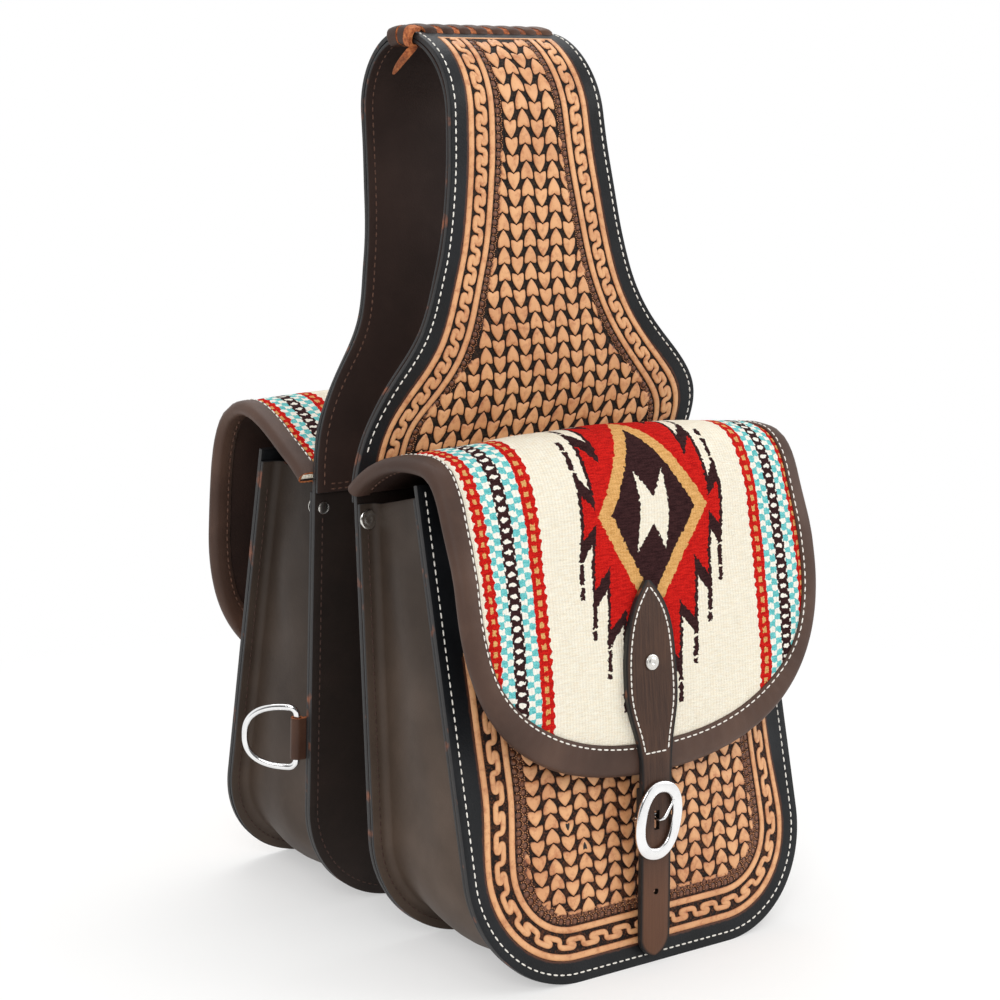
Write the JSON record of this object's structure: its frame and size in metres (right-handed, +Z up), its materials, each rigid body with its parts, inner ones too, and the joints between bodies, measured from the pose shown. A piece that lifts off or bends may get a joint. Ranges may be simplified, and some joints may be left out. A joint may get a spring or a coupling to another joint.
{
  "type": "saddle bag",
  "caption": "Pair of tooled leather saddle bags on a laced yoke, with woven wool flaps that lift, strap buckles with turning tongues, and swinging D-rings.",
  "frame": {"origin": "centre of the box on the plane that both bags stand on", "axes": "+X across the bags, to the right when facing the front bag; the front bag faces -Y and the back bag +Y; +Z up to the yoke's ridge"},
  "size_m": [0.3054, 0.3202, 0.5343],
  "materials": {
    "tooled_leather": "tooled, tan relief on a dark dyed ground",
    "dark_leather": "dark brown, flesh side out",
    "gusset_leather": "worn grey-brown grain",
    "strap_leather": "dark brown, raw tan edges",
    "wool": "thick woven wool with coloured pattern",
    "chrome": "polished",
    "nickel": "worn nickel plate"
  },
  "bodies": {
    "bags": {"front_bag_back_panel": "dark_leather", "front_gusset": "gusset_leather", "front_front_panel": "tooled_leather", "front_corner_rivet_left": "nickel", "front_corner_rivet_right": "nickel", "front_d_ring_tab": "dark_leather", "front_snap_stud": "nickel", "front_yoke_panel": "tooled_leather", "front_yoke_lining": "dark_leather", "back_bag_back_panel": "dark_leather", "back_gusset": "gusset_leather", "back_front_panel": "tooled_leather", "back_corner_rivet_left": "nickel", "back_corner_rivet_right": "nickel", "back_d_ring_tab": "dark_leather", "back_snap_stud": "nickel", "back_yoke_panel": "tooled_leather", "back_yoke_lining": "dark_leather", "ridge_lace": "strap_leather"},
    "front_flap": {"front_flap_blanket": "wool", "front_flap_lining": "dark_leather", "front_flap_binding": "gusset_leather", "front_strap": "strap_leather", "front_strap_rivet": "nickel", "front_buckle_frame": "chrome", "front_buckle_chape": "strap_leather", "front_snap_socket": "nickel"},
    "back_flap": {"back_flap_blanket": "wool", "back_flap_lining": "dark_leather", "back_flap_binding": "gusset_leather", "back_strap": "strap_leather", "back_strap_rivet": "nickel", "back_buckle_frame": "chrome", "back_buckle_chape": "strap_leather", "back_snap_socket": "nickel"},
    "front_tongue": {"front_buckle_tongue": "chrome"},
    "back_tongue": {"back_buckle_tongue": "chrome"},
    "front_ring": {"front_d_ring": "chrome"},
    "back_ring": {"back_d_ring": "chrome"}
  },
  "joints": [
    {"name": "front_flap_lift", "type": "hinge", "parent": "bags", "child": "front_flap", "pos_m": [0, -0.02463, 0.276], "axis": [-1, 0, 0], "range_deg": [0, 45]},
    {"name": "back_flap_lift", "type": "hinge", "parent": "bags", "child": "back_flap", "pos_m": [0, 0.02463, 0.276], "axis": [1, 0, 0], "range_deg": [0, 45]},
    {"name": "front_tongue_turn", "type": "hinge", "parent": "front_flap", "child": "front_tongue", "pos_m": [0, -0.14725, 0.087], "axis": [1, 0, 0], "range_deg": [0, 34]},
    {"name": "back_tongue_turn", "type": "hinge", "parent": "back_flap", "child": "back_tongue", "pos_m": [0, 0.14725, 0.087], "axis": [-1, 0, 0], "range_deg": [0, 34]},
    {"name": "front_ring_swing", "type": "hinge", "parent": "bags", "child": "front_ring", "pos_m": [0.1264, -0.04064, 0.111], "axis": [0, 0.0579, 0.9983], "range_deg": [-60, 115]},
    {"name": "back_ring_swing", "type": "hinge", "parent": "bags", "child": "back_ring", "pos_m": [-0.1264, 0.04064, 0.111], "axis": [0, -0.0579, 0.9983], "range_deg": [-60, 115]}
  ]
}
